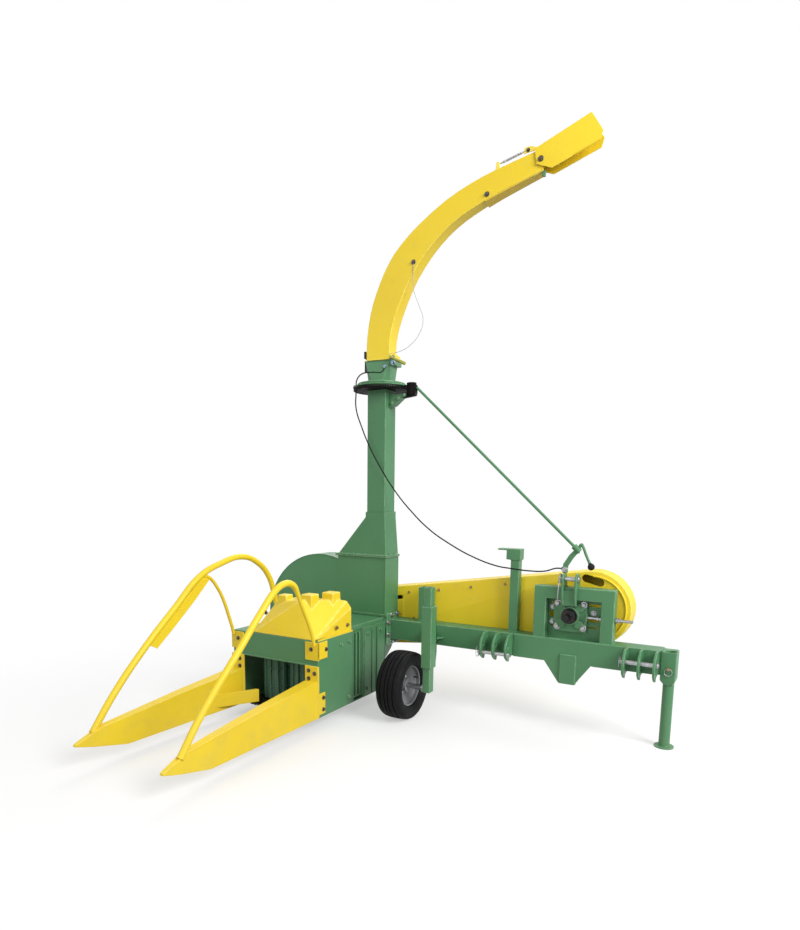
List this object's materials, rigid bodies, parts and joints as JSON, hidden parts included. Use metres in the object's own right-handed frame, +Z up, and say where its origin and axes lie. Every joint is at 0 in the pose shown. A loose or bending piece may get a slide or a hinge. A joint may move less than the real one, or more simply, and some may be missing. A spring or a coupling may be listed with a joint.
{
  "type": "forage harvester",
  "caption": "Tractor-mounted maize forage harvester: intake snouts feed a rotor housing whose chute and turning spout throw the chopped crop into a trailer.",
  "frame": {"origin": "on the floor under the middle of the machine's bounding box", "axes": "+Z up, +X forwards along the snouts, towards their tips, +Y along the main beam, away from the head and towards the parking leg"},
  "size_m": [2.1146, 2.7032, 3.27],
  "materials": {
    "green_paint": "satin enamel",
    "yellow_paint": "gloss enamel",
    "zinc_plate": "bright zinc plating",
    "dark_steel": "oiled dark steel",
    "rim_paint": "grey enamel",
    "tyre_rubber": "matt ribbed rubber",
    "cable_jacket": "smooth black jacket"
  },
  "bodies": {
    "frame": {"main_beam": "green_paint", "beam_stub": "green_paint", "drawbar_bracket": "green_paint", "hitch_bracket_left": "green_paint", "hitch_bracket_right": "green_paint", "bearing_frame": "green_paint", "bearing_plate": "green_paint", "top_link_clevis": "green_paint", "spout_post": "green_paint", "crank_support": "green_paint", "crank_rod": "green_paint", "crank_handle": "green_paint", "wheel_bracket": "green_paint", "wheel_strut": "green_paint", "leg_sleeve": "green_paint", "head_floor": "green_paint", "head_side_left": "green_paint", "head_side_right": "green_paint", "head_roof": "green_paint", "head_front_plate": "green_paint", "rotor_housing": "green_paint", "skid_shoe": "green_paint", "chute_hood": "green_paint", "chute": "green_paint", "turntable_ring": "green_paint", "worm_box": "green_paint", "belt_guard": "yellow_paint", "belt_guard_back": "yellow_paint", "gear_cover": "yellow_paint", "snout_left": "yellow_paint", "snout_right": "yellow_paint", "divider_left": "yellow_paint", "divider_right": "yellow_paint", "hitch_pin_left": "zinc_plate", "hitch_pin_right": "zinc_plate", "top_link_pin": "zinc_plate", "wheel_axle": "zinc_plate", "gearbox": "dark_steel", "control_cable": "cable_jacket"},
    "wheel": {"rim": "rim_paint", "tyre": "tyre_rubber"},
    "parking_leg": {"parking_leg": "green_paint"},
    "swivel": {"swivel_collar": "green_paint", "hinge_pin": "yellow_paint"},
    "spout": {"spout": "yellow_paint", "spout_middle": "yellow_paint", "spout_end": "yellow_paint"},
    "flap": {"flap": "yellow_paint"},
    "feed_drum_left": {"feed_drum_left": "green_paint"},
    "feed_drum_right": {"feed_drum_right": "green_paint"},
    "cutting_disc_left": {"cutting_disc_left": "dark_steel"},
    "cutting_disc_right": {"cutting_disc_right": "dark_steel"},
    "rotor": {"rotor": "dark_steel"},
    "pto_shaft": {"pto_shaft": "dark_steel"}
  },
  "joints": [
    {"name": "wheel_roll", "type": "hinge", "parent": "frame", "child": "wheel", "pos_m": [-0.48672, -0.10636, 0.203], "axis": [0, 1, 0], "continuous": true},
    {"name": "leg_height", "type": "slide", "parent": "frame", "child": "parking_leg", "axis": [0, 0, 1], "range_m": [0, 0.3]},
    {"name": "spout_turn", "type": "hinge", "parent": "frame", "child": "swivel", "pos_m": [-0.81372, -0.46536, 1.991], "axis": [0, 0, 1], "range_deg": [-135, 135]},
    {"name": "spout_fold", "type": "hinge", "parent": "swivel", "child": "spout", "pos_m": [-0.8268, -0.37228, 2.143], "axis": [-0.9903, -0.1392, 0], "range_deg": [0, 75]},
    {"name": "flap_tilt", "type": "hinge", "parent": "spout", "child": "flap", "pos_m": [-0.94454, 0.46549, 3.094], "axis": [-0.9903, -0.1392, 0], "range_deg": [0, 50], "stiffness_Nm_per_rad": 12, "springref_deg": -57.3},
    {"name": "feed_drum_left_spin", "type": "hinge", "parent": "frame", "child": "feed_drum_left", "pos_m": [-0.19672, -0.60086, 0.36], "axis": [0, 0, 1], "continuous": true},
    {"name": "feed_drum_right_spin", "type": "hinge", "parent": "frame", "child": "feed_drum_right", "pos_m": [-0.19672, -0.80886, 0.36], "axis": [0, 0, 1], "continuous": true},
    {"name": "cutting_disc_left_spin", "type": "hinge", "parent": "frame", "child": "cutting_disc_left", "pos_m": [-0.10672, -0.58086, 0.087], "axis": [0, 0, 1], "continuous": true},
    {"name": "cutting_disc_right_spin", "type": "hinge", "parent": "frame", "child": "cutting_disc_right", "pos_m": [-0.10672, -0.82886, 0.087], "axis": [0, 0, 1], "continuous": true},
    {"name": "rotor_spin", "type": "hinge", "parent": "frame", "child": "rotor", "pos_m": [-0.83272, -0.89736, 0.468], "axis": [1, 0, 0], "continuous": true},
    {"name": "pto_spin", "type": "hinge", "parent": "frame", "child": "pto_shaft", "pos_m": [-0.79672, 0.76964, 0.655], "axis": [1, 0, 0], "continuous": true}
  ]
}
